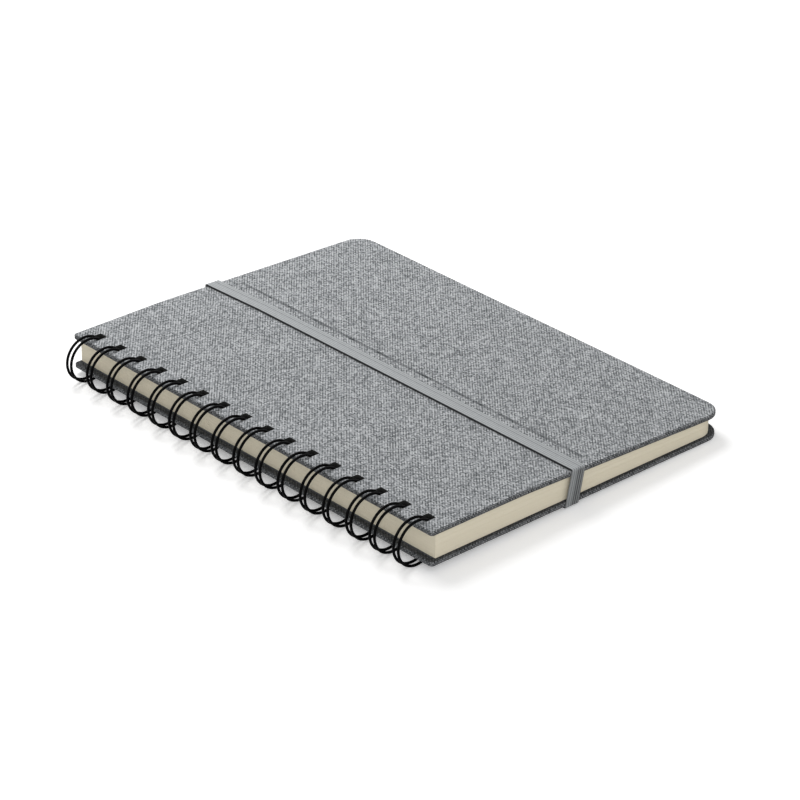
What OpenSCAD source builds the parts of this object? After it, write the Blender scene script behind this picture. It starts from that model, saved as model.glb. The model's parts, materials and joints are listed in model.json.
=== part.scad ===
// Twin-loop wire notebook, A5 class, lying closed as it comes to rest on a table.
// Two cloth-covered boards with paper linings, one block of pages, one continuous
// wire that threads all of them, and an elastic band held in the back cover.
// X runs from the spine to the fore-edge, Y along the spine, Z up. The origin is
// the middle of the outline on the table. Inside the "book" frame below, the
// origin is on the axis of the wire loops, at the middle of the spine.

/* [Covers] */
// Width of a cover, spine edge to fore-edge
cover_w = 152; // [130:0.5:180]
// Length of a cover along the spine
cover_l = 208.5; // [206:0.5:230]
// Thickness of the cloth-covered board
board_t = 2.1; // [2:0.1:2.6]
// Corner radius at the fore-edge
fore_r = 8.5; // [4:0.5:14]
// Corner radius at the spine
spine_r = 1.5; // [1:0.25:2.5]
// Thickness of the paper lining inside each cover
lining_t = 0.2; // [0.15:0.05:0.3]
// Cloth turn-in left bare around each lining
lining_inset = 2.5; // [2:0.25:3]

/* [Front cover shape] */
// Where the front cover starts to slope down, from its spine edge
bend_x = 45; // [25:1:60]
// How much lower the fore-edge of the front cover lies than its spine edge
fore_drop = 3.7; // [1:0.1:5]
// Width of the shallow mark that the elastic band has pressed in beside itself
mark_w = 6.2; // [3:0.1:8]
// Depth of the pressed mark
mark_depth = 0.15; // [0.05:0.05:0.3]
// Length of cover at each end that the mark does not reach
mark_end = 3; // [2:0.5:10]

/* [Pages] */
// Thickness of the page block at the spine
pages_t = 10.1; // [9:0.1:10.3]
// How far the pages stand back from the spine edges of the covers
pages_spine_inset = 3; // [1:0.25:3.2]
// How far the pages stand back from the fore-edges of the covers
pages_fore_inset = 3; // [1:0.25:6]
// How far the pages stand back from the ends of the covers
pages_end_inset = 1.25; // [0.5:0.25:3]
// Corner radius of the pages at the fore-edge
pages_r = 7.5; // [3:0.5:12]

/* [Punched holes] */
// Number of holes along the spine
hole_count = 16; // [8:1:16]
// Distance from one hole to the next
hole_pitch = 12.7; // [12:0.1:12.7]
// Size of a hole along the spine
hole_l = 4; // [3.9:0.1:5]
// Size of a cover hole across the spine
cover_hole_w = 4.7; // [4.7:0.1:5.5]
// Margin from the spine edge of a cover to its holes
cover_hole_margin = 3.7; // [3:0.05:3.75]
// Size of a page hole across the spine
page_hole_w = 4; // [3.9:0.1:5]
// Margin from the spine edge of the pages to their holes
page_hole_margin = 3.2; // [2.5:0.1:3.4]
// Room between the wire and the fore-edge side of a page hole
page_hole_room = 0.65; // [0.3:0.05:1]

/* [Wire binding] */
// Diameter of the wire
wire_d = 1.1; // [0.9:0.05:1.1]
// Radius of a loop, measured to the middle of the wire
loop_r = 9; // [9:0.05:9.1]
// Distance between the two wires of one loop
twin_gap = 2.56; // [2.2:0.02:2.6]
// Height of the loop axis above the underside of the back cover
axis_up = 7.15; // [7.1:0.05:7.3]
// Bend radius where a loop turns into the root wire
root_bend_r = 0.9; // [0.7:0.05:1.1]
// Room between the root wire and the lining below it
root_room = 0.2; // [0.15:0.05:0.4]
// Room between the tips of the loops and the root wire
tip_room = 0.25; // [0.15:0.05:1]

/* [Elastic band] */
// Width of the band
band_w = 6.5; // [4:0.5:8]
// Thickness of the band
band_t = 0.9; // [0.6:0.1:1]
// Place of the band's middle, from the spine edges, where it crosses the near edge
band_near_x = 73; // [65:0.5:110]
// The same at its slots in the back cover
band_slot_x = 70; // [65:0.5:110]
// The same where the band leaves its straight run towards the far edge
band_turn_x = 72.4; // [65:0.1:110]
// The same where it crosses the far edge
band_far_x = 71; // [65:0.5:110]
// Distance from the far edge to that turn
band_turn_back = 31; // [15:1:60]
// Distance from an end of the back cover to its slot
slot_inset = 9.5; // [7:0.5:20]
// Length of the band's tail under the lining, past the slot
tail_l = 12; // [8:0.5:20]
// Clear space left around the band
band_room = 0.1; // [0.05:0.05:0.2]
// Bend radius of the band's middle at a corner
band_bend_r = 0.7; // [0.5:0.05:0.7]

/* [Hidden] */

cloth_grey = "#8b8f92";
lining_grey = "#5e6266";
paper_cream = "#d6ccb4";
wire_black = "#161719";
band_grey = "#a2a5a8";

// Heights in the book frame, where the loop axis is at zero
back_low = -axis_up;
back_board_top = back_low + board_t;
pages_low = back_board_top + lining_t;
pages_top = pages_low + pages_t;
front_low = pages_top + lining_t;
front_top = front_low + board_t;

// The front cover's slope past its bend. Its layers are cut from slabs that run on
// past the fore-edge
layer_past = 5;
slope = atan(fore_drop / (cover_w - bend_x));
slope_run = cover_w + layer_past - bend_x;

// The loops are pushed into the page holes as far as their room lets them, and that
// places the covers and pages, which start at spine_x from the loop axis
spine_x = loop_r + wire_d / 2 + page_hole_room
          - (pages_spine_inset + page_hole_margin + page_hole_w);
fore_x = spine_x + cover_w;

// The book leans on the lowest point of its loops and on the fore-edge of its
// back cover, so it slopes down from the spine by this angle
loop_low = loop_r + wire_d / 2;
rest_tilt = asin(loop_low / norm([fore_x, axis_up])) - atan(axis_up / fore_x);

// Middle of the outline on the table, measured from the loop axis
reach_spine = -loop_low;
reach_fore = fore_x * cos(rest_tilt) + (front_top - fore_drop) * sin(rest_tilt);
middle_x = (reach_spine + reach_fore) / 2;

// Where the loops end: the root bends start, and the tips stop, at these angles,
// each taken to a tenth of a degree
function to_tenth(angle) = round(10 * angle) / 10;
root_z = pages_low + root_room + wire_d / 2;
root_reach = norm([loop_r, root_bend_r]);
root_angle = to_tenth(asin(root_z / root_reach) - atan(root_bend_r / loop_r));
tip_z = root_z + wire_d + tip_room;
tip_reach = norm([loop_r, twin_gap / 2]);
tip_angle = to_tenth(asin(tip_z / tip_reach) + atan(twin_gap / 2 / loop_r));
root_x = sqrt(pow(root_reach, 2) - pow(root_z, 2));
groove_room = 0.25;
joint_hair = 0.06;

wire_sides = 16;
loop_sides = 96;
arc_sides = 64;
past = 1;
big = 400;

function hole_y(i) = (i - (hole_count - 1) / 2) * hole_pitch;

// Puts a thing from the book frame in its place on the table
module at_rest() {
    translate([-middle_x, 0, loop_low])
        rotate([0, rest_tilt, 0])
            children();
}

// Puts a thing that is measured from the spine edges of the covers in its place
module from_spine() {
    at_rest()
        translate([spine_x, 0, 0])
            children();
}

// What a rounded corner takes away from a sheet's square corner at the origin
module corner_waste(r) {
    difference() {
        translate([-past, -past])
            square(r + past);
        translate([r, r])
            circle(r, $fn = arc_sides);
    }
}

// A sheet's outline, from its spine edge at x0 to its fore-edge at x1
module sheet_outline(x0, x1, l, r_spine, r_fore) {
    difference() {
        translate([x0, -l / 2])
            square([x1 - x0, l]);
        for (side = [0, 1])
            mirror([0, side, 0]) {
                if (r_spine > 0)
                    translate([x0, -l / 2])
                        corner_waste(r_spine);
                translate([x1, -l / 2])
                    mirror([1, 0, 0])
                        corner_waste(r_fore);
            }
    }
}

// The row of square holes along the spine, from x0 across
module holes(x0, w) {
    for (i = [0 : hole_count - 1])
        translate([x0, hole_y(i) - hole_l / 2, -big / 2])
            cube([w, hole_l, big]);
}

// A profile in X and Z, carried along the spine
module along_spine() {
    translate([0, big / 2, 0])
        rotate([90, 0, 0])
            linear_extrude(big)
                children();
}

// Height of a face of the bent front cover that is at z by the spine
function bent_z(z, x) = z - max(0, x - bend_x) * tan(slope);

// The space between two faces that bend with the front cover
module bent_layer(low, high) {
    end_x = bend_x + slope_run;
    polygon([
        [-past, low],
        [bend_x, low],
        [end_x, bent_z(low, end_x)],
        [end_x, bent_z(high, end_x)],
        [bend_x, high],
        [-past, high]
    ]);
}

// The wedge between a level face and one that bends with the front cover
module wedge_layer(low, high) {
    end_x = bend_x + slope_run;
    polygon([
        [-past, low],
        [end_x, low],
        [end_x, bent_z(high, end_x)],
        [bend_x, high],
        [-past, high]
    ]);
}

// A sheet with the outline given first and the profile given second
module shaped_sheet() {
    intersection() {
        translate([0, 0, -big / 2])
            linear_extrude(big)
                children(0);
        along_spine()
            children(1);
    }
}

module cover_outline() {
    sheet_outline(0, cover_w, cover_l, spine_r, fore_r);
}

module lining_outline() {
    sheet_outline(lining_inset, cover_w - lining_inset, cover_l - 2 * lining_inset,
                  0, fore_r - lining_inset);
}

// The shallow strip pressed into the cloth beside the band
module pressed_mark() {
    x0 = band_near_x + band_w / 2 - 0.5;
    mark_l = cover_l - 2 * mark_end;
    translate([bend_x, -mark_l / 2, front_top])
        rotate([0, slope, 0])
            translate([x0 - bend_x, 0, -mark_depth])
                cube([mark_w, mark_l, past]);
}

module front_cover() {
    color(cloth_grey)
        from_spine()
            difference() {
                shaped_sheet() {
                    cover_outline();
                    bent_layer(front_low, front_top);
                }
                holes(cover_hole_margin, cover_hole_w);
                pressed_mark();
            }
}

module front_lining() {
    color(lining_grey)
        from_spine()
            difference() {
                shaped_sheet() {
                    lining_outline();
                    bent_layer(pages_top, front_low);
                }
                holes(cover_hole_margin, cover_hole_w);
            }
}

// The hollow in the lowest sheets that the root wire and the loop ends lie in
module root_groove() {
    half = wire_d / 2 + groove_room;
    run_l = (hole_count - 1) * hole_pitch;
    translate([root_x - spine_x - half, -run_l / 2, back_low])
        cube([2 * half, run_l, root_z + half - back_low]);
}

module page_block() {
    x0 = pages_spine_inset;
    x1 = cover_w - pages_fore_inset;
    color(paper_cream)
        from_spine()
            difference() {
                shaped_sheet() {
                    sheet_outline(x0, x1, cover_l - 2 * pages_end_inset, 0, pages_r);
                    wedge_layer(pages_low, pages_top);
                }
                holes(x0 + page_hole_margin, page_hole_w);
                root_groove();
            }
}

module back_lining() {
    color(lining_grey)
        from_spine()
            difference() {
                translate([0, 0, back_board_top])
                    linear_extrude(lining_t)
                        lining_outline();
                holes(cover_hole_margin, cover_hole_w);
            }
}

// A slot through the back cover at its near end, and the pocket its tail lies in
module slot_and_pocket() {
    slot_w = band_w + 4 * band_room;
    slot_t = band_t + 4 * band_room;
    pocket_t = band_t + 2 * band_room;
    translate([band_slot_x - slot_w / 2, slot_inset - slot_t / 2 - cover_l / 2, 0]) {
        translate([0, 0, back_low - past])
            cube([slot_w, slot_t, board_t + 2 * past]);
        translate([0, 0, back_board_top - pocket_t])
            cube([slot_w, slot_t + tail_l, pocket_t + past]);
    }
}

module back_cover() {
    color(cloth_grey)
        from_spine()
            difference() {
                translate([0, 0, back_low])
                    linear_extrude(board_t)
                        cover_outline();
                holes(cover_hole_margin, cover_hole_w);
                for (side = [0, 1])
                    mirror([0, side, 0])
                        slot_and_pocket();
            }
}

// A bent length of wire, r from its centre, through the given angles about Z
module wire_arc(r, from, to) {
    rotate([0, 0, from])
        rotate_extrude(angle = to - from, $fn = r > 2 ? loop_sides : arc_sides)
            translate([r, 0])
                circle(d = wire_d, $fn = wire_sides);
}

// A frame on the loop circle: X outward, Y along the spine, Z onward round the loop
module on_loop(angle) {
    rotate([0, -angle, 0])
        translate([loop_r, 0, 0])
            children();
}

// One loop: two wires side by side, joined by a hairpin at the tip
module twin_loop() {
    for (side = [-1, 1])
        translate([0, side * twin_gap / 2, 0])
            rotate([90, 0, 0])
                wire_arc(loop_r, tip_angle, root_angle + 360);
    on_loop(tip_angle)
        rotate([90, 0, 90])
            wire_arc(twin_gap / 2, 180, 360);
}

// The root wire from one loop to the next, with a bend at each end. It stops a hair
// short of the loops, and a ball that is a hair thicker than the wire joins them
module root_wire(y_from, y_to) {
    on_loop(root_angle) {
        for (y = [y_from - root_bend_r, y_to + root_bend_r])
            translate([0, y, joint_hair / 2])
                sphere(d = wire_d + joint_hair, $fn = 32);
        translate([0, 0, joint_hair]) {
            translate([0, y_from, 0])
                rotate([90, 0, 90])
                    wire_arc(root_bend_r, 90, 180);
            translate([0, y_to, 0])
                rotate([90, 0, 90])
                    wire_arc(root_bend_r, 0, 90);
            translate([0, y_from, root_bend_r])
                rotate([-90, 0, 0])
                    cylinder(h = y_to - y_from, d = wire_d, $fn = wire_sides);
        }
    }
}

module wire_binding() {
    bend_out = twin_gap / 2 + root_bend_r;
    color(wire_black)
        at_rest()
            for (i = [0 : hole_count - 1])
                translate([0, hole_y(i), 0]) {
                    twin_loop();
                    if (i < hole_count - 1)
                        root_wire(bend_out, hole_pitch - bend_out);
                }
}

// Middle line of the band, as [x, y, z] corners from its near tail to its far tail
band_off = band_room + band_t / 2;
band_end_y = cover_l / 2 + band_off;
band_slot_y = cover_l / 2 - slot_inset;
band_tail_y = band_slot_y - tail_l;
band_under_z = back_low - band_off;
band_tail_z = back_board_top - band_off;
function band_top_z(x) = bent_z(front_top, x) + band_off / cos(slope);
band_corners = [
    [band_slot_x, -band_tail_y, band_tail_z],
    [band_slot_x, -band_slot_y, band_tail_z],
    [band_slot_x, -band_slot_y, band_under_z],
    [band_slot_x, -band_end_y, band_under_z],
    [band_near_x, -band_end_y, band_top_z(band_near_x)],
    [band_turn_x, cover_l / 2 - band_turn_back, band_top_z(band_turn_x)],
    [band_far_x, band_end_y, band_top_z(band_far_x)],
    [band_slot_x, band_end_y, band_under_z],
    [band_slot_x, band_slot_y, band_under_z],
    [band_slot_x, band_slot_y, band_tail_z],
    [band_slot_x, band_tail_y, band_tail_z]
];

// The band's rings: each corner is a short arc in steps, each end a single ring
bend_steps = 4;
function unit(v) = v / norm(v);
function bend_point(a, b, c, t) =
    let (u = unit(b - a), w = unit(c - b), d = band_bend_r)
    // a quadratic curve that leaves and meets the straight runs without a kink
    (1 - t) * (1 - t) * (b - u * d) + 2 * t * (1 - t) * b + t * t * (b + w * d);
last_corner = len(band_corners) - 1;
band_line = concat(
    [band_corners[0]],
    [for (k = [1 : last_corner - 1], s = [0 : bend_steps])
        bend_point(band_corners[k - 1], band_corners[k], band_corners[k + 1],
                   s / bend_steps)],
    [band_corners[last_corner]]
);
last_ring = len(band_line) - 1;

// The band's width follows the slope of the front cover on top and lies level below
function across(p) =
    let (lift = min(1, max(0, (p.z - band_under_z) / (band_top_z(p.x) - band_under_z))))
    [cos(slope * lift), 0, -sin(slope * lift)];
function along(i) =
    unit(band_line[min(last_ring, i + 1)] - band_line[max(0, i - 1)]);
function ring(i) =
    let (
        p = band_line[i],
        a = across(p) * band_w / 2,
        n = unit(cross(across(p), along(i))) * band_t / 2
    )
    [p - a - n, p + a - n, p + a + n, p - a + n];

module elastic_band() {
    color(band_grey)
        from_spine()
            polyhedron(
                points = [for (i = [0 : last_ring]) each ring(i)],
                faces = concat(
                    [[0, 1, 2, 3]],
                    [for (i = [0 : last_ring - 1], k = [0 : 3])
                        [4 * i + k, 4 * i + 4 + k, 4 * i + 4 + (k + 1) % 4,
                         4 * i + (k + 1) % 4]],
                    [[4 * last_ring + 3, 4 * last_ring + 2, 4 * last_ring + 1,
                      4 * last_ring]]
                )
            );
}

front_cover();
front_lining();
page_block();
back_lining();
back_cover();
wire_binding();
elastic_band();
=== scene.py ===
# %% [markdown]
# # A twin-loop wire notebook
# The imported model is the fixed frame. It already has the right sizes and joints, so
# this script only dresses it: cloth on the boards, cut leaves in the page block, a
# smooth wire and a ribbed elastic band.

# %% The frame
import json
import math

import bmesh
import bpy
from mathutils import Matrix, Vector


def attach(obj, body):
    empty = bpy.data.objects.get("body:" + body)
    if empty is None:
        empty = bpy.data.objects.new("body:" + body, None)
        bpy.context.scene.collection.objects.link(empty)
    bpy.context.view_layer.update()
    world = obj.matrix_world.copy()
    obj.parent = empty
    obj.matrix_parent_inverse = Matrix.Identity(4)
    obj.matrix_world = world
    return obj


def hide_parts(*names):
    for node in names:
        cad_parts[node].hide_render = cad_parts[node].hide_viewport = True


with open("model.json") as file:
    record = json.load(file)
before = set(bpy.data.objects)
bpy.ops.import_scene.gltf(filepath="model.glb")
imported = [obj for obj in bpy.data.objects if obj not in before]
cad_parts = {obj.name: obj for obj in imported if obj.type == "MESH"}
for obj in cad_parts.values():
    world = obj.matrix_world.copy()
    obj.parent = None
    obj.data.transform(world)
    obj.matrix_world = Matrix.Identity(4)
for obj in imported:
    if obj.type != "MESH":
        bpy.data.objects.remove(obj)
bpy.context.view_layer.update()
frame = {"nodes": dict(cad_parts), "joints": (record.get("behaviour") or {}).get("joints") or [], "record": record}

# %% [markdown]
# ## One place to measure from
# The closed book leans a little, because it rests on its wire loops and on one edge of
# its back cover. Sizes are easier to write for a book that lies level, in millimetres,
# with the axis of the loops at zero. One matrix then takes every finished mesh to its
# leaning place on the table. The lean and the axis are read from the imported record.

# %% From the level book to the table
hinge = Vector(frame["joints"][0]["pos_m"])
fore_edge = next(m for m in frame["record"]["mounts"] if m["name"] == "fore_edge_rest")
lean = math.atan2(-fore_edge["axis"][2], fore_edge["axis"][0])
on_table = (Matrix.Translation(hinge) @ Matrix.Rotation(lean, 4, "Y")
            @ Matrix.Scale(0.001, 4))
print("lean in degrees", round(math.degrees(lean), 3))

# %% Sizes of the level book, in millimetres
cover_w, cover_l, board_t = 152.0, 208.5, 2.1
lining_t, pages_t, axis_up = 0.2, 10.1, 7.15
bend_x, fore_drop = 45.0, 3.7
hole_count, hole_pitch, hole_l = 16, 12.7, 4.0

back_low = -axis_up
back_top = back_low + board_t
pages_low = back_top + lining_t
pages_top = pages_low + pages_t
front_low = pages_top + lining_t
front_top = front_low + board_t
slope = math.atan(fore_drop / (cover_w - bend_x))
hole_ys = [(i - (hole_count - 1) / 2) * hole_pitch for i in range(hole_count)]
print("front cover from", round(front_low, 2), "to", round(front_top, 2), "mm")

# %% [markdown]
# ## Small helpers
# A colour is written as it looks on a screen, and one function turns it into the
# linear numbers that the renderer adds up. One more function adds a node, with its
# settings and its links, to any node tree, for a material or for geometry. Where it is
# given a whole node as an input, it links the first output of that node.

# %% Colour and node helpers
MATH = "ShaderNodeMath"


def paint(hex_code):
    shades = [int(hex_code[i:i + 2], 16) / 255 for i in (1, 3, 5)]
    linear = [s / 12.92 if s <= 0.04045 else ((s + 0.055) / 1.055) ** 2.4 for s in shades]
    return (*linear, 1.0)


def add(tree, kind, inputs=None, **settings):
    node = tree.nodes.new(kind)
    for name, value in settings.items():
        setattr(node, name, value)
    for socket, value in (inputs or {}).items():
        if isinstance(value, bpy.types.Node):
            value = value.outputs[0]
        if isinstance(value, bpy.types.NodeSocket):
            tree.links.new(value, node.inputs[socket])
        else:
            node.inputs[socket].default_value = value
    return node


def new_finish(name):
    finish = bpy.data.materials.new(name)
    finish.use_nodes = True
    finish.node_tree.nodes.clear()
    return finish, finish.node_tree


print("ivory in linear numbers", [round(c, 3) for c in paint("#f0e8d3")])

# %% [markdown]
# ## The woven cloth
# The covers are wrapped in a plain weave of mottled grey yarn, the cloth that
# bookbinders glue on board. A picture of cloth would repeat and blur. Here the weave is
# worked out from its thread spacing: every second crossing shows a lengthwise thread,
# the others a crosswise one, each with a rounded back. The pattern follows a map in
# millimetres that wraps round the edges.

# %% Threads of the weave
# Millimetres from one thread to the next, worked out from the rows seen in the photograph
thread_x, thread_y = 0.671, 0.763
wander = 0.35  # millimetres, because hand-laid cloth never runs perfectly straight
roundness = 0.6


def weave(tree, cloth_map):
    drift = add(tree, "ShaderNodeTexNoise", {"Vector": cloth_map, "Scale": 0.12,
                                             "Detail": 1.0})
    drifted = add(tree, "ShaderNodeVectorMath",
                  {0: drift.outputs["Color"], 1: (wander, wander, 0.0), 2: cloth_map},
                  operation="MULTIPLY_ADD")
    in_threads = add(tree, "ShaderNodeVectorMath",
                     {0: drifted, 1: (1 / thread_x, 1 / thread_y, 1)},
                     operation="MULTIPLY")
    u, v, _ = add(tree, "ShaderNodeSeparateXYZ", {0: in_threads}).outputs
    cell_u, cell_v = (add(tree, MATH, {0: place}, operation="FLOOR")
                      for place in (u, v))
    backs = []
    for place in (u, v):
        turn = add(tree, MATH, {0: place, 1: math.pi}, operation="MULTIPLY")
        wave = add(tree, MATH, {0: turn}, operation="SINE")
        backs.append(add(tree, MATH, {0: wave}, operation="ABSOLUTE"))
    # One where the lengthwise thread lies on top, minus one where it lies below
    crossing = add(tree, MATH, {0: cell_u, 1: cell_v}, operation="ADD")
    side = add(tree, MATH, {0: crossing, 1: 1.0}, operation="PINGPONG")
    over = add(tree, MATH, {0: side, 1: 2.0, 2: -1.0}, operation="MULTIPLY_ADD")
    heights = []
    for across, along, lift in ((backs[0], backs[1], 0.5), (backs[1], backs[0], -0.5)):
        rounded = add(tree, MATH, {0: across, 1: roundness}, operation="POWER")
        swing = add(tree, MATH, {0: over, 1: along}, operation="MULTIPLY")
        raised = add(tree, MATH, {0: swing, 1: lift, 2: 0.5}, operation="MULTIPLY_ADD")
        heights.append(add(tree, MATH, {0: rounded, 1: raised}, operation="MULTIPLY"))
    height = add(tree, MATH, {0: heights[0], 1: heights[1]}, operation="MAXIMUM")
    warp_up = add(tree, MATH, {0: heights[0], 1: heights[1]}, operation="GREATER_THAN")
    return u, v, cell_u, cell_v, height, warp_up


print("threads in 10 mm", round(10 / thread_x, 1), "by", round(10 / thread_y, 1))

# %% [markdown]
# ## The greys of the yarn
# Mottled yarn is spun from light and dark fibres. Every yarn has its own grey that
# changes slowly along it, and single crossings are darker or lighter. A random colour
# for each thread alone would draw stripes, so five parts are added up instead: the
# yarn, the single crossing, a wide soft blotch, painted shade from the height of the
# weave, lighter on the rounded back of the thread and darker between threads, and a
# lighter grey for all crosswise yarns.

# %% Mottled greys
warp_apart, weft_apart = 7.31, 5.77  # steps in the noise from one yarn to the next
warp_change, weft_change = 0.16, 0.12  # steps in the noise for each thread crossed
weft_layer = 9.0  # another layer of the noise, so that the two sets of yarns differ
yarn_share, fleck_share, blotch_share = 0.55, 0.54, 0.22
relief_shade_share, base_grey = 0.7, 0.02


def mottled_grey(tree, cloth_map, threads, yarn_step):
    u, v, cell_u, cell_v, height, warp_up = threads
    greys = []
    for x, x_scale, y, y_scale, z in ((cell_u, warp_apart, v, warp_change, 0.0),
                                      (u, weft_change, cell_v, weft_apart, weft_layer)):
        at = add(tree, "ShaderNodeCombineXYZ",
                 {0: add(tree, MATH, {0: x, 1: x_scale}, operation="MULTIPLY"),
                  1: add(tree, MATH, {0: y, 1: y_scale}, operation="MULTIPLY"), 2: z})
        greys.append(add(tree, "ShaderNodeTexNoise", {"Vector": at, "Scale": 1.0,
                                                      "Detail": 2.0}))
    yarn = add(tree, "ShaderNodeMix", {0: warp_up, 2: greys[1], 3: greys[0]})
    number = add(tree, "ShaderNodeCombineXYZ", {0: cell_u, 1: cell_v})
    fleck = add(tree, "ShaderNodeTexWhiteNoise", {"Vector": number}).outputs["Value"]
    blotch = add(tree, "ShaderNodeTexNoise", {"Vector": cloth_map, "Scale": 0.11,
                                              "Detail": 3.0})
    # The grey starts from the height of the weave: painted shade, lighter on the thread backs and darker in the
    # hollows
    grey = add(tree, MATH, {0: height, 1: relief_shade_share, 2: base_grey},
               operation="MULTIPLY_ADD")
    # Each part is taken around its own middle, so that the sum stays around one half
    for part, share in ((yarn, yarn_share), (fleck, fleck_share),
                        (blotch, blotch_share)):
        centred = add(tree, MATH, {0: part, 1: share, 2: -share / 2},
                      operation="MULTIPLY_ADD")
        grey = add(tree, MATH, {0: grey, 1: centred}, operation="ADD")
    # The crosswise yarn is lighter than the lengthwise one: fine slanting rows
    lighter = add(tree, MATH, {0: warp_up, 1: -yarn_step, 2: yarn_step / 2},
                  operation="MULTIPLY_ADD")
    return add(tree, MATH, {0: grey, 1: lighter}, operation="ADD"), fleck, blotch


print("a yarn changes its grey each", round(thread_y / warp_change, 1), "mm")

# %% Woven cloth finish
def woven_cloth(name, dark, middle, light, rim_painted_shade, yarn_step):
    finish, tree = new_finish(name)
    cloth_map = add(tree, "ShaderNodeUVMap", uv_map="cloth_mm").outputs[0]
    threads = weave(tree, cloth_map)
    grey, fleck, blotch = mottled_grey(tree, cloth_map, threads, yarn_step)
    ramp = add(tree, "ShaderNodeValToRGB", {0: grey})
    ramp.color_ramp.elements[0].position = 0.1
    ramp.color_ramp.elements[0].color = paint(dark)
    ramp.color_ramp.elements[1].position = 0.95
    ramp.color_ramp.elements[1].color = paint(light)
    ramp.color_ramp.elements.new(0.5).color = paint(middle)
    # Along the crease the cloth is painted darker: painted shade on the step where the pressed strip ends, broken
    # up by the mottle
    crease_shade_mask = add(tree, "ShaderNodeAttribute", attribute_name="painted_crease_shade").outputs["Fac"]
    patchy = add(tree, MATH, {0: blotch, 1: 2.0, 2: -1.0}, operation="MULTIPLY_ADD")
    broken = add(tree, MATH, {0: fleck, 1: 0.9, 2: patchy}, operation="MULTIPLY_ADD")
    ragged_crease_shade = add(tree, MATH, {0: crease_shade_mask, 1: broken}, operation="MULTIPLY")
    painted_crease_shade = add(tree, "ShaderNodeMix", {0: ragged_crease_shade, 6: ramp, 7: paint(dark)},
                 data_type="RGBA", clamp_factor=True)
    # On the rim the cloth is stretched and its dark ground shows between the threads, and painted shade darkens it
    # further towards the side that lies in shade
    rim = add(tree, "ShaderNodeAttribute", attribute_name="rim").outputs["Fac"]
    rim_shade_tint = add(tree, "ShaderNodeMix", {0: rim, 6: (1, 1, 1, 1), 7: paint(rim_painted_shade)},
               data_type="RGBA")
    colour = add(tree, "ShaderNodeMix", {0: 1.0, 6: painted_crease_shade.outputs[2],
                                         7: rim_shade_tint.outputs[2]},
                 data_type="RGBA", blend_type="MULTIPLY")
    relief = add(tree, "ShaderNodeBump", {"Strength": 0.5, "Distance": 0.00012,
                                          "Height": threads[4]})
    # Cotton gives the eye a dry surface: rough all over, with a little fuzz at its edges
    body = add(tree, "ShaderNodeBsdfPrincipled",
               {"Base Color": colour.outputs[2], "Roughness": 0.92,
                "Sheen Weight": 0.08, "Sheen Roughness": 0.5,
                "Specular IOR Level": 0.2, "Normal": relief})
    add(tree, "ShaderNodeOutputMaterial", {0: body})
    return finish


# The grey #48494b darkens the rim: the stretched cloth's dark ground, with painted shade on top of it
cloth = woven_cloth("woven_mottled_cotton_cloth", "#3c4042", "#94979a", "#d9dbdd",
                    "#48494b", 0.38)
print("cloth has", len(cloth.node_tree.nodes), "nodes")

# %% [markdown]
# ## Paper, greyboard and lining
# The leaves are uncoated ivory paper. A guillotine cut the whole stack, so its edges
# show fine fibres and slight changes from leaf to leaf. Greyboard is pressed waste
# paper and shows only inside the punched holes, painted darker than its own grey as
# painted shade in the narrow holes. The linings are smooth grey paper. All three are
# matted fibres, so one function with a grain size in millimetres makes them.

# %% Paper finishes
def fibre_paper(name, base, shade, grain, strength, leaves=False):
    finish, tree = new_finish(name)
    at = add(tree, "ShaderNodeTexCoord").outputs["Object"]
    fibres = add(tree, "ShaderNodeTexNoise", {"Vector": at, "Scale": 1000 / grain,
                                              "Detail": 4.0, "Roughness": 0.6})
    mottle = fibres
    if leaves:
        # Each leaf of the stack carries its own number, which changes its shade a little
        change = add(tree, "ShaderNodeAttribute", attribute_name="leaf_shade")
        softer = add(tree, MATH, {0: fibres, 1: 0.7}, operation="MULTIPLY")
        mottle = add(tree, MATH, {0: change.outputs["Fac"], 1: 0.4, 2: softer},
                     operation="MULTIPLY_ADD")
    colour = add(tree, "ShaderNodeMix", {0: mottle, 6: paint(base), 7: paint(shade)},
                 data_type="RGBA")
    relief = add(tree, "ShaderNodeBump", {"Strength": strength, "Distance": 0.00005,
                                          "Height": fibres})
    # Uncoated paper gives the eye an even, chalky surface with no highlight
    body = add(tree, "ShaderNodeBsdfPrincipled",
               {"Base Color": colour.outputs[2], "Roughness": 0.85,
                "Specular IOR Level": 0.3, "Normal": relief})
    add(tree, "ShaderNodeOutputMaterial", {0: body})
    return finish


ivory_paper = fibre_paper("cut_ivory_paper", "#f0e8d3", "#e8dfc8", 0.5, 0.3,
                          leaves=True)
lining_paper = fibre_paper("smooth_grey_lining_paper", "#5f6366", "#55595c", 0.4, 0.25)
# Greyboard painted darker than its own grey: painted shade inside the narrow holes
greyboard_painted_dark = fibre_paper("greyboard_with_painted_hole_shade", "#2e2f2e", "#222322", 0.8, 0.5)
print("papers", ivory_paper.name, lining_paper.name, greyboard_painted_dark.name)

# %% [markdown]
# ## The coat of the wire
# The wire is steel in a black nylon coat, laid on as powder and melted. One dark colour
# would do from afar. A slight orange-peel surface is added, because it breaks up the
# little light that the coat throws back.

# %% Wire coat
def coated_wire():
    finish, tree = new_finish("matt_black_nylon_coat")
    at = add(tree, "ShaderNodeTexCoord").outputs["Object"]
    peel = add(tree, "ShaderNodeTexNoise", {"Vector": at, "Scale": 1000 / 0.7,
                                            "Detail": 2.0})
    relief = add(tree, "ShaderNodeBump", {"Strength": 0.12, "Distance": 0.00005,
                                          "Height": peel})
    uneven = add(tree, "ShaderNodeMapRange", {0: peel, 3: 0.28, 4: 0.42})
    # It gives the eye a deep, even black line that hardly shines and is never metallic
    body = add(tree, "ShaderNodeBsdfPrincipled",
               {"Base Color": paint("#060607"), "Roughness": uneven,
                "Specular IOR Level": 0.03, "Normal": relief})
    add(tree, "ShaderNodeOutputMaterial", {0: body})
    return finish


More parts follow.
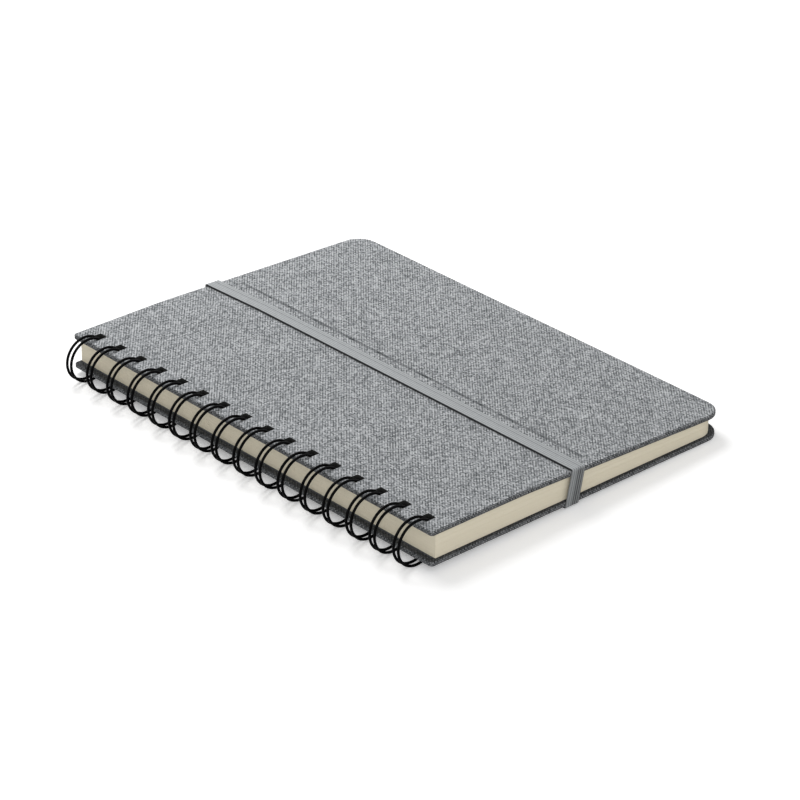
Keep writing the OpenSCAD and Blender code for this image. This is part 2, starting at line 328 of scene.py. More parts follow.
wire_coat = coated_wire()
print("wire finish", wire_coat.name)

# %% [markdown]
# ## The knit of the band
# The band is grey yarn knitted over six rubber cords. The ribs are part of its mesh.
# The cross stitches are too small for that, so the finish draws them, each half a
# stitch over from rib to rib. The mesh also carries painted shade at each place: in
# the groove, between the cords, on the sides and on the legs at the ends.

# %% Knitted elastic
band_w, cords = 6.5, 6
cord = band_w / cords
stitch_l = 0.45  # millimetres


def ribbed_elastic():
    finish, tree = new_finish("knitted_grey_elastic")
    run, across, _ = add(tree, "ShaderNodeSeparateXYZ",
                         {0: add(tree, "ShaderNodeUVMap", uv_map="band_mm")}).outputs
    rib = add(tree, MATH, {0: add(tree, MATH, {0: across, 1: cord}, operation="DIVIDE")},
              operation="FLOOR")
    stitches = add(tree, MATH, {0: run, 1: stitch_l}, operation="DIVIDE")
    shifted = add(tree, MATH, {0: rib, 1: 0.5, 2: stitches}, operation="MULTIPLY_ADD")
    turn = add(tree, MATH, {0: shifted, 1: math.pi}, operation="MULTIPLY")
    wave = add(tree, MATH, {0: turn}, operation="SINE")
    stitch = add(tree, MATH, {0: wave}, operation="ABSOLUTE")
    at = add(tree, "ShaderNodeCombineXYZ",
             {0: add(tree, MATH, {0: run, 1: 0.6}, operation="MULTIPLY"),
              1: add(tree, MATH, {0: across, 1: 3.0}, operation="MULTIPLY")})
    yarn = add(tree, "ShaderNodeTexNoise", {"Vector": at, "Scale": 1.0, "Detail": 3.0})
    long_streaks = add(tree, MATH, {0: yarn, 1: 0.9}, operation="MULTIPLY")
    grey = add(tree, MATH, {0: stitch, 1: 0.15, 2: long_streaks},
               operation="MULTIPLY_ADD")
    knit = add(tree, "ShaderNodeMix", {0: grey, 6: paint("#8f9395"),
                                       7: paint("#c3c6c8")}, data_type="RGBA")
    # Painted shade darkens the knit: in its groove, between the cords, on its sides and on the legs at the ends
    painted_band_shade = add(tree, "ShaderNodeAttribute", attribute_name="painted_band_shade").outputs["Fac"]
    colour = add(tree, "ShaderNodeMix", {0: painted_band_shade, 6: knit.outputs[2],
                                         7: paint("#1e2021")}, data_type="RGBA")
    relief = add(tree, "ShaderNodeBump", {"Strength": 0.4, "Distance": 0.00008,
                                          "Height": stitch})
    # The tight knit gives the eye a smoother, paler grey than the cloth beside it
    body = add(tree, "ShaderNodeBsdfPrincipled",
               {"Base Color": colour.outputs[2], "Roughness": 0.75,
                "Sheen Weight": 0.1, "Specular IOR Level": 0.3,
                "Normal": relief})
    add(tree, "ShaderNodeOutputMaterial", {0: body})
    return finish


elastic_knit = ribbed_elastic()
print("band finish", elastic_knit.name, "one rib each", round(cord, 2), "mm")

# %% [markdown]
# ## Getting a mesh into the book
# Every piece is made level and in millimetres. The next helpers put a mesh built from
# points given one by one in an object, or turn the result of Geometry Nodes into a plain
# mesh, and then carry it to its leaning place, so that the object itself stays at the origin.

# %% Object helpers
def show(name, mesh):
    piece = bpy.data.objects.new(name, mesh)
    bpy.context.scene.collection.objects.link(piece)
    return piece


def from_bmesh(name, bm):
    mesh = bpy.data.meshes.new(name)
    bm.to_mesh(mesh)
    bm.free()
    return show(name, mesh)


def bake(name, source):
    bpy.context.view_layer.update()
    depsgraph = bpy.context.evaluated_depsgraph_get()
    mesh = bpy.data.meshes.new_from_object(source.evaluated_get(depsgraph))
    bpy.data.objects.remove(source)
    return show(name, mesh)


def lay_on_table(piece):
    piece.data.transform(on_table)
    print(piece.name, "has", len(piece.data.polygons), "faces")
    return piece


def grow_with_nodes(source, tree, values):
    made = source.modifiers.new("nodes", "NODES")
    made.node_group = tree
    for item in tree.interface.items_tree:
        if item.in_out == "INPUT" and item.name in values:
            made[item.identifier] = values[item.name]
    return source


def new_tree(name, inputs):
    tree = bpy.data.node_groups.new(name, "GeometryNodeTree")
    for label, kind in inputs:
        tree.interface.new_socket(label, in_out="INPUT", socket_type="NodeSocket" + kind)
    tree.interface.new_socket("Geometry", in_out="OUTPUT",
                              socket_type="NodeSocketGeometry")
    return tree, add(tree, "NodeGroupInput")


# %% [markdown]
# ## The outlines
# A board, a lining and a leaf are all rounded rectangles with a row of square holes.
# An outline that can be grown or shrunk by a given amount, point for point, is enough
# to round an edge: each ring of points is the same outline, a little smaller.

# %% Outlines
def rounded_outline(x0, x1, y0, y1, r_low, r_high, steps=8, grow=0.0):
    x0, x1, y0, y1 = x0 - grow, x1 + grow, y0 - grow, y1 + grow
    low, high = max(r_low + grow, 0.01), max(r_high + grow, 0.01)
    points = []
    for cx, cy, r, turn in ((x0 + low, y0 + low, low, 180),
                            (x1 - high, y0 + high, high, 270),
                            (x1 - high, y1 - high, high, 0),
                            (x0 + low, y1 - low, low, 90)):
        for step in range(steps + 1):
            a = math.radians(turn + 90 * step / steps)
            points.append((cx + r * math.cos(a), cy + r * math.sin(a)))
    return points


def hole_outline(x0, w, y_mid, l, steps=2, r=0.35):
    def grown(grow):
        return rounded_outline(x0, x0 + w, y_mid - l / 2, y_mid + l / 2, r, r, steps,
                               grow)
    return grown


print("points round one hole", len(hole_outline(0, 1, 0, hole_l)(0)))

# %% [markdown]
# ## The cloth-covered boards
# A book cover is a board with cloth glued round it, so its edges are soft and the cloth
# runs on over them. The solid from the CAD model has sharp edges, so the boards are made
# again: rings of points round each edge, filled faces above and below, and a map of the
# cloth that unrolls the edge next to the top. The holes are punched after the cloth is
# on, so their walls show greyboard.

# %% Rounded edge and flat faces of a board
fore_r, spine_r = 8.5, 1.5
edge_turns = 4


def edge_profile(r, low, high):
    # How far in from the edge and how high, from the top face round to the lower face
    turns = [math.pi / 2 * t / edge_turns for t in range(edge_turns + 1)]
    upper = [(r * (1 - math.sin(a)), high - r * (1 - math.cos(a))) for a in turns]
    return upper + [(inset, low + high - z) for inset, z in reversed(upper)]


def fill_face(bm, cloth_map, rings, up):
    edges = [bm.edges.get((ring[j], ring[(j + 1) % len(ring)]))
             for ring in rings for j in range(len(ring))]
    for face in bmesh.ops.triangle_fill(bm, use_beauty=True, edges=edges)["geom"]:
        if isinstance(face, bmesh.types.BMFace):
            face.normal_update()
            if face.normal.z * up < 0:
                face.normal_flip()
            face.smooth = False
            for loop in face.loops:
                loop[cloth_map].uv = loop.vert.co.xy


print("an edge of 0.55 mm takes", len(edge_profile(0.55, 0, board_t)), "rings")

# %% Board maker
# The rim darkens from its outer side towards the side in shade, where painted shade is added
rim_shade_outer = 0.35  # how dark the stretched cloth is on the outer side of the rim


def cloth_board(low, high, holes, shaded_side_up, rim_shade_inner, rim_r=0.55, punch_r=0.12):
    bm = bmesh.new()
    cloth_map = bm.loops.layers.uv.new("cloth_mm")
    rim_shade_layer = bm.verts.layers.float.new("rim")
    tops, bottoms = [], []

    def outer(grow):
        return rounded_outline(0, cover_w, -cover_l / 2, cover_l / 2, spine_r, fore_r,
                               8, grow)

    for contour, r, sign, slot_no in ([(outer, rim_r, -1, 0)]
                                      + [(h, punch_r, 1, 1) for h in holes]):
        profile = edge_profile(r, low, high)
        last = len(profile) - 1
        rings, maps, run = [], [], 0.0
        start = contour(sign * r)
        edge = contour(0)
        for k, (inset, z) in enumerate(profile):
            if k:
                run += math.hypot(inset - profile[k - 1][0], z - profile[k - 1][1])
            # The rim gets painted shade, darkest on the side of the board that faces the pages and lies in shade;
            # on the back cover this paints the whole top beside the pages dark as well
            toward_shaded_side = (last - k if shaded_side_up else k) / last
            dark = rim_shade_outer + (rim_shade_inner - rim_shade_outer) * toward_shaded_side
            if k == last or (k == 0 and not shaded_side_up):
                dark = 0.0
            ring, places = [], []
            for p, s, e in zip(contour(sign * inset), start, edge):
                vert = bm.verts.new((p[0], p[1], z))
                vert[rim_shade_layer] = dark
                ring.append(vert)
                out = Vector((e[0] - s[0], e[1] - s[1]))
                places.append(Vector(s) + out.normalized() * run)
            rings.append(ring)
            maps.append(places)
        count = len(rings[0])
        for k in range(last):
            for j in range(count):
                n = (j + 1) % count
                corners = [(k, j), (k + 1, j), (k + 1, n), (k, n)]
                if sign > 0:
                    corners.reverse()
                face = bm.faces.new([rings[a][b] for a, b in corners])
                face.material_index = slot_no
                face.smooth = True
                for loop, (a, b) in zip(face.loops, corners):
                    loop[cloth_map].uv = maps[a][b]
        tops.append(rings[0])
        bottoms.append(rings[-1])
    fill_face(bm, cloth_map, tops, 1)
    fill_face(bm, cloth_map, bottoms, -1)
    return bm


print("the stretched cloth is", rim_shade_outer, "dark on the outer side of the rim")

# %% [markdown]
# ## The front cover
# It slopes down towards the fore-edge, because the wire holds it up and the band presses
# it down. Beside the band the cloth keeps a shallow pressed strip that ends in a faint
# crease. Both are moves of the mesh: cuts where the shape changes, then a lower height.
# The crease is also marked on the mesh, so that painted shade can darken the cloth along it.

# %% Slope of the front cover
bend_soft = 6.0  # the cover starts to slope softly, this far to each side of the bend
bend_cuts = [bend_x + bend_soft * third / 3 for third in range(-3, 4)]


def front_drop(x):
    if x <= bend_x - bend_soft:
        return 0.0
    if x >= bend_x + bend_soft:
        return (x - bend_x) * math.tan(slope)
    return (x - bend_x + bend_soft) ** 2 / (4 * bend_soft) * math.tan(slope)


def cut_along(bm, axis, places):
    for place in places:
        point = (place, 0, 0) if axis == 0 else (0, place, 0)
        normal = (1, 0, 0) if axis == 0 else (0, 1, 0)
        bmesh.ops.bisect_plane(bm, geom=bm.verts[:] + bm.edges[:] + bm.faces[:],
                               plane_co=point, plane_no=normal, dist=1e-4)


print("the fore-edge lies", round(front_drop(cover_w), 2), "mm lower")

# %% Front cover
cover_hole_x, cover_hole_w = 3.7, 4.7
cover_holes = [hole_outline(cover_hole_x, cover_hole_w, y, hole_l) for y in hole_ys]
bm = cloth_board(front_low, front_top, cover_holes, shaded_side_up=False, rim_shade_inner=1.0)

mark_x0, mark_x1, mark_depth, mark_end = 75.75, 81.95, 0.16, 3.0
band_side, crease_w, mark_fade = 0.6, 0.9, 4.0  # widths over which the mark fades out
crease_short, crease_edge = 3.0, 0.4
mark_y = cover_l / 2 - mark_end
cut_along(bm, 0, bend_cuts + [mark_x0 - band_side, mark_x0,
                              mark_x1 - crease_w - crease_edge, mark_x1 - crease_w,
                              mark_x1, mark_x1 + crease_edge])
cut_along(bm, 1, [-mark_y, -mark_y + mark_fade, mark_y - mark_fade, mark_y])
crease_shade_layer = bm.verts.layers.float.new("painted_crease_shade")
for vert in bm.verts:
    x, y, z = vert.co
    if z > front_top - 1e-3:
        # Along the crease the top is marked for painted shade
        creased = mark_x1 - crease_w - 0.01 < x < mark_x1 + 0.01
        if creased and abs(y) < mark_y - crease_short:
            vert[crease_shade_layer] = 1.0
        inside = min(1, max(0, (x - mark_x0 + band_side) / band_side),
                     max(0, (mark_x1 - x) / crease_w))
        ends = min(1, max(0, (mark_y - abs(y)) / mark_fade))
        vert.co.z -= mark_depth * max(0, inside) * ends
    vert.co.z -= front_drop(x)
front_board = lay_on_table(from_bmesh("front_board", bm))
for finish in (cloth, greyboard_painted_dark):
    front_board.data.materials.append(finish)

# %% [markdown]
# ## The back cover
# The same board, level, with a slot near each end that the elastic band goes through.
# The tail of the band lies in a pocket under the lining. A pocket has corners inside the
# board, where rings of points would not help, so it is cut out with a Boolean modifier.

# %% Back cover
band_t, band_room, band_slot_x = 0.9, 0.1, 70.0
slot_inset, tail_l = 9.5, 12.0
slot_w, slot_t = band_w + 4 * band_room, band_t + 4 * band_room
pocket_t = band_t + 2 * band_room
band_slots = [hole_outline(band_slot_x - slot_w / 2, slot_w,
                           side * (cover_l / 2 - slot_inset), slot_t, 2, 0.1)
              for side in (-1, 1)]
bm = cloth_board(back_low, back_top, cover_holes + band_slots, shaded_side_up=True,
                 rim_shade_inner=0.92)
back_board = from_bmesh("back_board", bm)
for finish in (cloth, greyboard_painted_dark):
    back_board.data.materials.append(finish)
for side in (-1, 1):
    y0 = cover_l / 2 - slot_inset - slot_t / 2 - tail_l
    tool = bmesh.new()
    bmesh.ops.create_cube(tool, size=1)
    bmesh.ops.scale(tool, vec=(slot_w, tail_l + slot_t / 2, pocket_t + 1),
                    verts=tool.verts)
    bmesh.ops.translate(tool, verts=tool.verts,
                        vec=(band_slot_x, side * (y0 + (tail_l + slot_t / 2) / 2),
                             back_top + (1 - pocket_t) / 2))
    pocket = from_bmesh("pocket_tool", tool)
    pocket.data.materials.append(greyboard_painted_dark)
    cut = back_board.modifiers.new("pocket", "BOOLEAN")
    cut.operation, cut.solver, cut.object = "DIFFERENCE", "EXACT", pocket
    back_board = bake("back_board", back_board)
    bpy.data.objects.remove(pocket)
back_board.name = "back_board"
lay_on_table(back_board)

# %% [markdown]
# ## The leaves
# The block is a stack of cut leaves. One leaf is made once, with its row of square
# holes, and Geometry Nodes stack it: points on a line, a copy on each, and a small
# random shift, because a real stack is never perfectly even. The lowest leaves have
# their holes joined by a groove, where the wire runs from hole to hole. Afterwards the
# stack is pressed to a wedge, thinner at the fore-edge, as the cover presses it.

# %% One leaf
pages_spine_inset, pages_fore_inset, pages_end_inset, pages_r = 3.0, 3.0, 1.25, 7.5
page_hole_x, page_hole_w = 6.2, 4.0
wire_d, loop_r, root_bend_r, root_room = 1.1, 9.0, 0.9, 0.2
leaf_pitch, leaf_t = 0.1403, 0.134
root_z = pages_low + root_room + wire_d / 2
root_x = math.sqrt(loop_r ** 2 + root_bend_r ** 2 - root_z ** 2)
groove_half = wire_d / 2 + 0.25


def groove_outline(grow):
    def side(x_hole, x_run, grow_x, order):
        points = []
        for y in order:
            near, far = y - hole_l / 2 - grow, y + hole_l / 2 + grow
            if order[0] > order[-1]:
                near, far = far, near
            points += [(x_run + grow_x, near), (x_hole + grow_x, near),
                       (x_hole + grow_x, far), (x_run + grow_x, far)]
        return points[1:-1]
    right = side(page_hole_x + page_hole_w, root_x + groove_half, grow, hole_ys)
    left = side(page_hole_x, root_x - groove_half, -grow, hole_ys[::-1])
    return right + left


def leaf_mesh(name, holes):
    bm = bmesh.new()
    outline = rounded_outline(pages_spine_inset, cover_w - pages_fore_inset,
                              -cover_l / 2 + pages_end_inset,
                              cover_l / 2 - pages_end_inset, 0.0, pages_r, 6)
    # At the spine the corners are square, so their arc shrinks to one point
    outline = [p for i, p in enumerate(outline)
               if i == 0 or math.dist(p, outline[i - 1]) > 0.05]
    loops = [outline] + [h(0) for h in holes]
    rings = []
    for z in (0.0, leaf_t):
        level = []
        for loop in loops:
            level.append([bm.verts.new((x, y, z)) for x, y in loop])
        edges = [bm.edges.new((ring[j], ring[(j + 1) % len(ring)]))
                 for ring in level for j in range(len(ring))]
        bmesh.ops.triangle_fill(bm, use_beauty=True, edges=edges)
        rings.append(level)
    for below, above in zip(*rings):
        for j in range(len(below)):
            n = (j + 1) % len(below)
            bm.faces.new([below[j], below[n], above[n], above[j]])
    cut_along(bm, 0, bend_cuts)
    bmesh.ops.recalc_face_normals(bm, faces=bm.faces)
    return from_bmesh(name, bm)


square_holes = [hole_outline(page_hole_x, page_hole_w, y, hole_l, 1, 0.2)
                for y in hole_ys]
plain_leaf = leaf_mesh("plain_leaf", square_holes)
grooved_leaf = leaf_mesh("grooved_leaf", [groove_outline])
print("one leaf has", len(plain_leaf.data.polygons), "faces")

# %% Stack of leaves
stack, given = new_tree("stack_of_leaves", [
    ("Leaf", "Object"), ("Count", "Int"), ("Pitch", "Float"), ("Height", "Float"),
    ("Unevenness", "Float"), ("Seed", "Int"), ("Paper", "Material")])
step = add(stack, "ShaderNodeCombineXYZ", {2: given.outputs["Pitch"]})
base = add(stack, "ShaderNodeCombineXYZ", {2: given.outputs["Height"]})
line = add(stack, "GeometryNodeMeshLine", {"Count": given.outputs["Count"],
                                           "Start Location": base.outputs[0],
                                           "Offset": step.outputs[0]})
sheet = add(stack, "GeometryNodeObjectInfo", {"Object": given.outputs["Leaf"]})
copies = add(stack, "GeometryNodeInstanceOnPoints",
             {"Points": line.outputs[0], "Instance": sheet.outputs["Geometry"]})
shift = add(stack, "FunctionNodeRandomValue", {"Min": (-1, -1, 0), "Max": (1, 1, 0),
                                               "Seed": given.outputs["Seed"]},
            data_type="FLOAT_VECTOR")
slide = add(stack, "ShaderNodeVectorMath", {0: shift.outputs[0],
                                            "Scale": given.outputs["Unevenness"]},
            operation="SCALE")
moved = add(stack, "GeometryNodeTranslateInstances", {"Instances": copies.outputs[0],
                                                      "Translation": slide.outputs[0]})
shade = add(stack, "FunctionNodeRandomValue", {"Seed": given.outputs["Seed"]},
            data_type="FLOAT")
marked = add(stack, "GeometryNodeStoreNamedAttribute",
             {"Geometry": moved.outputs[0], "Name": "leaf_shade",
              "Value": shade.outputs[1]}, data_type="FLOAT", domain="INSTANCE")
real = add(stack, "GeometryNodeRealizeInstances", {0: marked.outputs[0]})
papered = add(stack, "GeometryNodeSetMaterial", {"Geometry": real.outputs[0],
                                                 "Material": given.outputs["Paper"]})
add(stack, "NodeGroupOutput", {0: papered.outputs[0]})

leaf_count = int(pages_t / leaf_pitch)
grooved_count = math.ceil((root_z + groove_half - pages_low) / leaf_pitch)
stacks = []
for label, leaf, start, count in (("low_leaves", grooved_leaf, 0, grooved_count),
                                  ("leaves", plain_leaf, grooved_count,
                                   leaf_count - grooved_count)):
    source = show(label, bpy.data.meshes.new(label))
    grow_with_nodes(source, stack, {
        "Leaf": leaf, "Count": count, "Pitch": leaf_pitch,
        "Height": pages_low + start * leaf_pitch, "Unevenness": 0.03,
        "Seed": 4 + start, "Paper": ivory_paper})
    stacks.append(bake(label, source))
for leaf in (plain_leaf, grooved_leaf):
    bpy.data.objects.remove(leaf)
bm = bmesh.new()
for part in stacks:
    bm.from_mesh(part.data)
    bpy.data.objects.remove(part)
for vert in bm.verts:
    share = 1 - front_drop(vert.co.x) / pages_t
    vert.co.z = pages_low + (vert.co.z - pages_low) * share
page_leaves = from_bmesh("page_leaves", bm)
page_leaves.data.materials.append(ivory_paper)
lay_on_table(page_leaves)
print("leaves", leaf_count, "of them grooved", grooved_count)

# %% [markdown]
# ## The wire
# Twin-loop binding is one single wire from end to end: up round the first loop, back in
# a hairpin at its tip, down the same loop again, and along the inside to the next one.
# The line is worked out point by point from the loop radius and the hole pitch, and
# Geometry Nodes sweep a round section along it, which keeps the wire even everywhere.

# %% Line of the wire
twin_gap, tip_room = 2.56, 0.25


def to_tenth(angle):
    return round(10 * angle) / 10


root_angle = to_tenth(math.degrees(math.asin(root_z / math.hypot(loop_r, root_bend_r))
                                   - math.atan(root_bend_r / loop_r)))
tip_z = root_z + wire_d + tip_room
tip_angle = to_tenth(math.degrees(math.asin(tip_z / math.hypot(loop_r, twin_gap / 2))
                                  + math.atan(twin_gap / 2 / loop_r)))


def on_loop(angle, y, onward=0.0):
    a = math.radians(angle)
    return (loop_r * math.cos(a) - onward * math.sin(a), y,
            loop_r * math.sin(a) + onward * math.cos(a))


def between(start, end, steps):
    return [start + (end - start) * i / steps for i in range(steps + 1)]


wire_line = []
half_gap = twin_gap / 2
for i, y in enumerate(hole_ys):
    wire_line += [on_loop(a, y - half_gap)
                  for a in between(root_angle + 360, tip_angle, 88)]
    wire_line += [on_loop(tip_angle, y + half_gap * math.cos(math.radians(a)),
                          half_gap * math.sin(math.radians(a)))
                  for a in between(180, 360, 12)[1:-1]]
    wire_line += [on_loop(a, y + half_gap)
                  for a in between(tip_angle, root_angle + 360, 88)]
    if i < hole_count - 1:
        y_from = y + half_gap + root_bend_r
        y_to = y + hole_pitch - half_gap - root_bend_r
        for centre, turn in ((y_from, between(180, 90, 6)[1:]),
                             (y_to, between(90, 0, 6)[:-1])):
            wire_line += [on_loop(root_angle,
                                  centre + root_bend_r * math.cos(math.radians(a)),
                                  root_bend_r * math.sin(math.radians(a)))
                          for a in turn]
print("points on the wire", len(wire_line))

# %% Sweep of the wire
sweep, given = new_tree("round_wire", [("Geometry", "Geometry"), ("Diameter", "Float"),
                                       ("Sides", "Int"), ("Coat", "Material")])
radius = add(sweep, MATH, {0: given.outputs["Diameter"], 1: 0.5}, operation="MULTIPLY")
section = add(sweep, "GeometryNodeCurvePrimitiveCircle",
              {"Resolution": given.outputs["Sides"], "Radius": radius.outputs[0]})
tube = add(sweep, "GeometryNodeCurveToMesh", {0: given.outputs["Geometry"],
                                              1: section.outputs[0]})
tube.inputs["Fill Caps"].default_value = True
soft = add(sweep, "GeometryNodeSetShadeSmooth", {0: tube.outputs[0]})
whole = add(sweep, "GeometryNodeRealizeInstances", {0: soft.outputs[0]})
coated = add(sweep, "GeometryNodeSetMaterial", {"Geometry": whole.outputs[0],
                                                "Material": given.outputs["Coat"]})
add(sweep, "NodeGroupOutput", {0: coated.outputs[0]})

curve = bpy.data.curves.new("wire_line", "CURVE")
curve.dimensions = "3D"
spline = curve.splines.new("POLY")
spline.points.add(len(wire_line) - 1)
for point, place in zip(spline.points, wire_line):
    point.co = (*place, 1)
source = show("wire_line", curve)
grow_with_nodes(source, sweep, {"Diameter": wire_d, "Sides": 14, "Coat": wire_coat})
twin_loop_wire = lay_on_table(bake("twin_loop_wire", source))

# %% [markdown]
# ## The elastic band
# The band starts in a pocket inside the back cover, comes out below through a slot, goes
# round the closed book and ends in the other pocket. It is knitted over six rubber
# cords, so its section has six soft ribs, and one deeper groove runs its whole length.
# The section is carried along the line of the band, flat on the cover and upright at the
# ends, and made thinner where the band is pulled tight round them. A sweep would keep
# one section all the way, so here its rings of points are placed one by one.

# %% Line of the band
band_near_x, band_turn_x, band_far_x, band_turn_back = 73.0, 72.4, 71.0, 31.0
band_bend_r = 0.7
band_off = band_room + band_t / 2
thin_share = 0.6  # of its thickness, where the band is pulled tight
under_off = 0.05 + thin_share * band_t / 2
end_y = cover_l / 2 + under_off
slot_y = cover_l / 2 - slot_inset
under_z = back_low - under_off
tail_z = back_top - band_off


def band_top_z(x):
    return front_top - front_drop(x) + band_off / math.cos(slope)


band_corners = [Vector(p) for p in (
    (band_slot_x, -slot_y + tail_l, tail_z), (band_slot_x, -slot_y, tail_z),
    (band_slot_x, -slot_y, under_z), (band_slot_x, -end_y, under_z),
    (band_near_x, -end_y, band_top_z(band_near_x)),
    (band_turn_x, cover_l / 2 - band_turn_back, band_top_z(band_turn_x)),
    (band_far_x, end_y, band_top_z(band_far_x)), (band_slot_x, end_y, under_z),
    (band_slot_x, slot_y, under_z), (band_slot_x, slot_y, tail_z),
    (band_slot_x, slot_y - tail_l, tail_z))]
band_line = [band_corners[0]]
for a, b, c in zip(band_corners, band_corners[1:], band_corners[2:]):
    first = b - (b - a).normalized() * band_bend_r
    last = b + (c - b).normalized() * band_bend_r
    band_line += [first * (1 - t) ** 2 + b * 2 * t * (1 - t) + last * t * t
                  for t in between(0, 1, 8)]
band_line.append(band_corners[-1])
print("the band is", round(sum((q - p).length for p, q in
                               zip(band_line, band_line[1:]))), "mm long")

# %% Section of the band
band_groove_at, band_groove_half, band_groove_depth = -band_w / 2 + 4 * cord, 0.34, 0.24
rib_height = 0.12  # share of the thickness
cord_steps = 8
# Painted shade on the steps beside each join between two cords
shade_between_cords = {7: 0.5, 0: 0.5, 1: 0.25}  # how dark the steps beside a join are
# Painted shade on the legs at the ends of the book: less on the part nearer to the spine
end_shade_split, end_shade_less, end_shade_more, side_shadow_eased = -0.8, 0.25, 0.5, 0.8


def band_section():
    # For each place across the band: half its thickness, how deep in the groove it is,
    # how much painted shade it gets, and whether it is one of the two sides
    points = []
    for j in range(cords * cord_steps + 1):
        across = -band_w / 2 + band_w * j / (cords * cord_steps)
        round_back = abs(math.sin(math.pi * (across + band_w / 2) / cord)) ** 0.7
        half = band_t / 2 * (1 - rib_height + rib_height * round_back)
        near = max(0, 1 - abs(across - band_groove_at) / band_groove_half)
        # The groove and the joins between the cords get painted shade
        dark = max(0.7 * near, shade_between_cords.get(j % cord_steps, 0.0))
        points.append((across, half, near, dark, j in (0, cords * cord_steps)))
    return points


print("points across the band", len(band_section()))


# %% Ribbed band
def ribbed_band():
    bm = bmesh.new()
    map_layer = bm.loops.layers.uv.new("band_mm")
    band_shade_layer = bm.verts.layers.float.new("painted_band_shade")
    section = band_section()
    rings, run = [], 0.0
    for i, p in enumerate(band_line):
        ahead = (band_line[min(i + 1, len(band_line) - 1)]
                 - band_line[max(i - 1, 0)]).normalized()
        lift = min(1, max(0, (p.z - under_z) / (band_top_z(p.x) - under_z)))
        tilt = slope * lift
        end = 1 - abs(ahead.y)
        # Thin at the ends of the book and under it, full on the front cover
        thin = 1 - (1 - thin_share) * min(1, max(end, 1 - 4 * lift))
        wide = Vector((math.cos(tilt), 0, -math.sin(tilt)))
        thick = wide.cross(ahead).normalized()
        if i:
            run += (p - band_line[i - 1]).length
        ring = []
        for out, order in ((1, section), (-1, section[::-1])):
            for across, half, near, dark, is_side in order:
                vert = bm.verts.new(p + wide * across + thick * out * thin
                                    * (half - band_groove_depth * near))
                # At the ends of the book the legs get painted shade, and the sides less of their painted shadow
                end_shade = end * (end_shade_more if across > end_shade_split else end_shade_less)
                # The two sides are painted dark, as the shadow line beside the band
                if is_side:
                    dark = 1 - side_shadow_eased * end
                vert[band_shade_layer] = min(1, dark + end_shade)
                ring.append((vert, (run, across + band_w / 2)))
        rings.append(ring)
    count = len(rings[0])
    for below, above in zip(rings, rings[1:]):
        for j in range(count):
            n = (j + 1) % count
            corners = (below[j], below[n], above[n], above[j])
            face = bm.faces.new([c[0] for c in corners])
            face.smooth = True
            for loop, corner in zip(face.loops, corners):
                loop[map_layer].uv = corner[1]
    for ring in (rings[0], rings[-1]):
        bm.faces.new([c[0] for c in ring])
    bmesh.ops.recalc_face_normals(bm, faces=bm.faces)
    return bm


elastic = lay_on_table(from_bmesh("ribbed_elastic", ribbed_band()))
elastic.data.materials.append(elastic_knit)

# %% [markdown]
# ## What moves with what
# Each piece rides on the body of the CAD model that carries it, and stands for the solid
# that it replaces. The two linings keep their CAD shape, because a flat sheet of paper
# needs nothing but its finish.

# %% Riding and replacing
for piece, body, node in ((front_board, "front", "front_cover"),
                          (back_board, "back", "back_cover"),
                          (page_leaves, "pages", "page_block"),
                          (twin_loop_wire, "pages", "wire_binding"),
                          (elastic, "back", "elastic_band")):
    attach(piece, body)
    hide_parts(node)
for name in ("front_lining", "back_lining"):
    lining = frame["nodes"][name]
    lining.data.materials.clear()
    lining.data.materials.append(lining_paper)

# %% [markdown]
# ## Floor, light and background
# The book lies in a white studio. A soft lamp stands behind it on the fore-edge side. A
# wide one stands further off in front and lights the book less, and the world fills the
# rest. White walls come from the background colour that the camera and reflections see,
# not from more light. The floor is a matt white sheet that adds a little of its own
# white for the camera, and keeps the book's soft shadow.

# %% Studio
world = bpy.data.worlds.new("studio")
bpy.context.scene.world = world
world.use_nodes = True
sky = world.node_tree
sky.nodes.clear()
seen = add(sky, "ShaderNodeLightPath").outputs
mirrored = add(sky, MATH, {0: seen["Is Glossy Ray"], 1: seen["Is Transmission Ray"]},
               operation="MAXIMUM")
direct = add(sky, MATH, {0: seen["Is Camera Ray"], 1: mirrored}, operation="MAXIMUM")
room_light, white_wall = 0.46, 1.0
level = add(sky, "ShaderNodeMapRange", {0: direct, 3: room_light, 4: white_wall})
backdrop = add(sky, "ShaderNodeBackground", {"Color": (1, 1, 1, 1), "Strength": level})
add(sky, "ShaderNodeOutputWorld", {0: backdrop})
print("room light", room_light)

# %% White floor
floor_finish, tree = new_finish("matt_white_studio_floor")
matt = add(tree, "ShaderNodeBsdfDiffuse", {"Color": paint("#efefef")})
seen_matt = add(tree, "ShaderNodeBsdfDiffuse", {"Color": paint("#ffffff")})
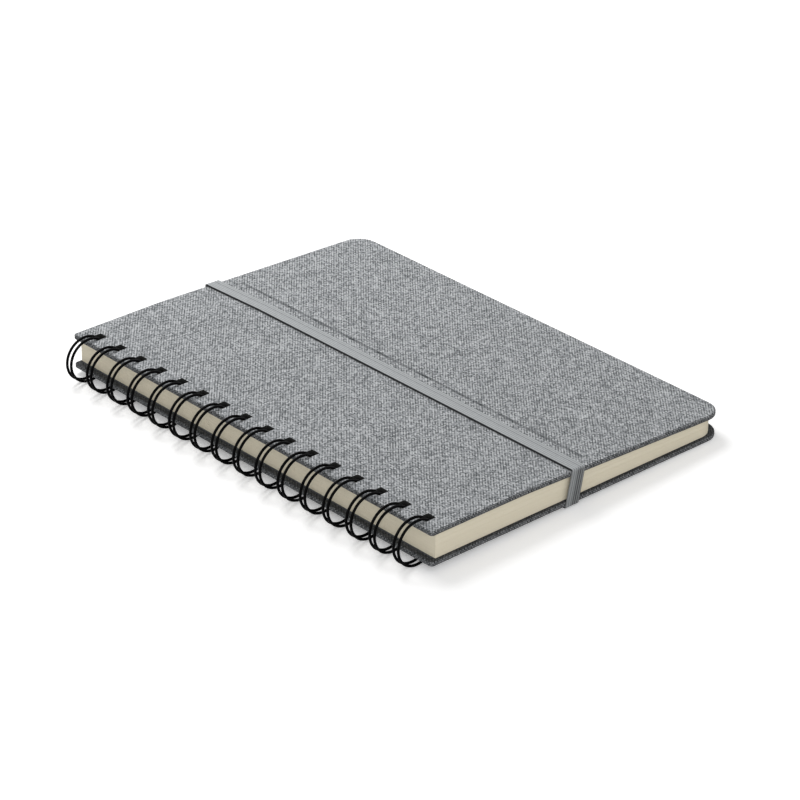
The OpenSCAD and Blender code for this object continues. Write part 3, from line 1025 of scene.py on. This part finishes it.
# Far from the book the lamps are weak, so the sheet's own white rises to keep it white
near_book, far_off = 0.2, 0.5  # metres
white_near, white_far = 0.26, 0.6
from_book = add(tree, "ShaderNodeVectorMath",
                {0: add(tree, "ShaderNodeTexCoord").outputs["Object"]},
                operation="LENGTH").outputs["Value"]
rise = add(tree, "ShaderNodeMapRange", {0: from_book, 1: near_book, 2: far_off,
                                        3: white_near, 4: white_far})
own_white = add(tree, "ShaderNodeEmission", {"Strength": rise})
seen_floor = add(tree, "ShaderNodeAddShader", {0: seen_matt, 1: own_white})
camera_sees = add(tree, "ShaderNodeLightPath").outputs["Is Camera Ray"]
sheet_of_white = add(tree, "ShaderNodeMixShader", {0: camera_sees, 1: matt,
                                                   2: seen_floor})
add(tree, "ShaderNodeOutputMaterial", {0: sheet_of_white})
bm = bmesh.new()
bmesh.ops.create_grid(bm, x_segments=1, y_segments=1, size=0.75)
floor = from_bmesh("studio_floor", bm)
floor.data.materials.append(floor_finish)
print("floor", [round(side, 2) for side in floor.dimensions[:2]], "metres")


# %% Lamps
def soft_lamp(name, place, aim, size, watts):
    lamp = bpy.data.lights.new(name, "AREA")
    lamp.shape, lamp.size, lamp.energy = "DISK", size, watts
    holder = show(name, lamp)
    holder.location = place
    holder.rotation_euler = (Vector(aim) - Vector(place)).to_track_quat(
        "-Z", "Y").to_euler()
    return holder


soft_lamp("key_lamp", (0.08, 0.42, 0.58), (0, 0, 0), 0.42, 3.0)
soft_lamp("fill_lamp", (-0.90, -1.10, 0.65), (0, 0, 0), 1.2, 6.0)
print("lamps", [lamp.name for lamp in bpy.data.lights])

# %% [markdown]
# ## The camera
# The place and the lens were worked out from the sixteen holes, the loops and the cover
# edges in the photograph: a long lens, about 28 degrees above the table.

# %% Camera
azimuth, height_angle, roll = (math.radians(a) for a in (-42.120, 28.345, -0.168))
aim, distance = Vector((0.01581, 0.00854, -0.00610)), 1.3710
focal_px, photo_px, sensor_w = 3483.8, 800, 36
back = Vector((math.sin(azimuth) * math.cos(height_angle),
               -math.cos(azimuth) * math.cos(height_angle), math.sin(height_angle)))
level_right = (-back).cross(Vector((0, 0, 1))).normalized()
level_up = level_right.cross(-back)
right = level_right * math.cos(roll) + level_up * math.sin(roll)
up = level_up * math.cos(roll) - level_right * math.sin(roll)
view = bpy.data.cameras.new("photo_camera")
view.lens = focal_px * sensor_w / photo_px
view.sensor_width = sensor_w
camera = show("photo_camera", view)
camera.matrix_world = Matrix.Translation(aim + back * distance) @ Matrix(
    (right, up, back)).transposed().to_4x4()
bpy.context.scene.camera = camera
bpy.context.scene.view_settings.view_transform = "Standard"
print("lens in millimetres", round(view.lens, 1))
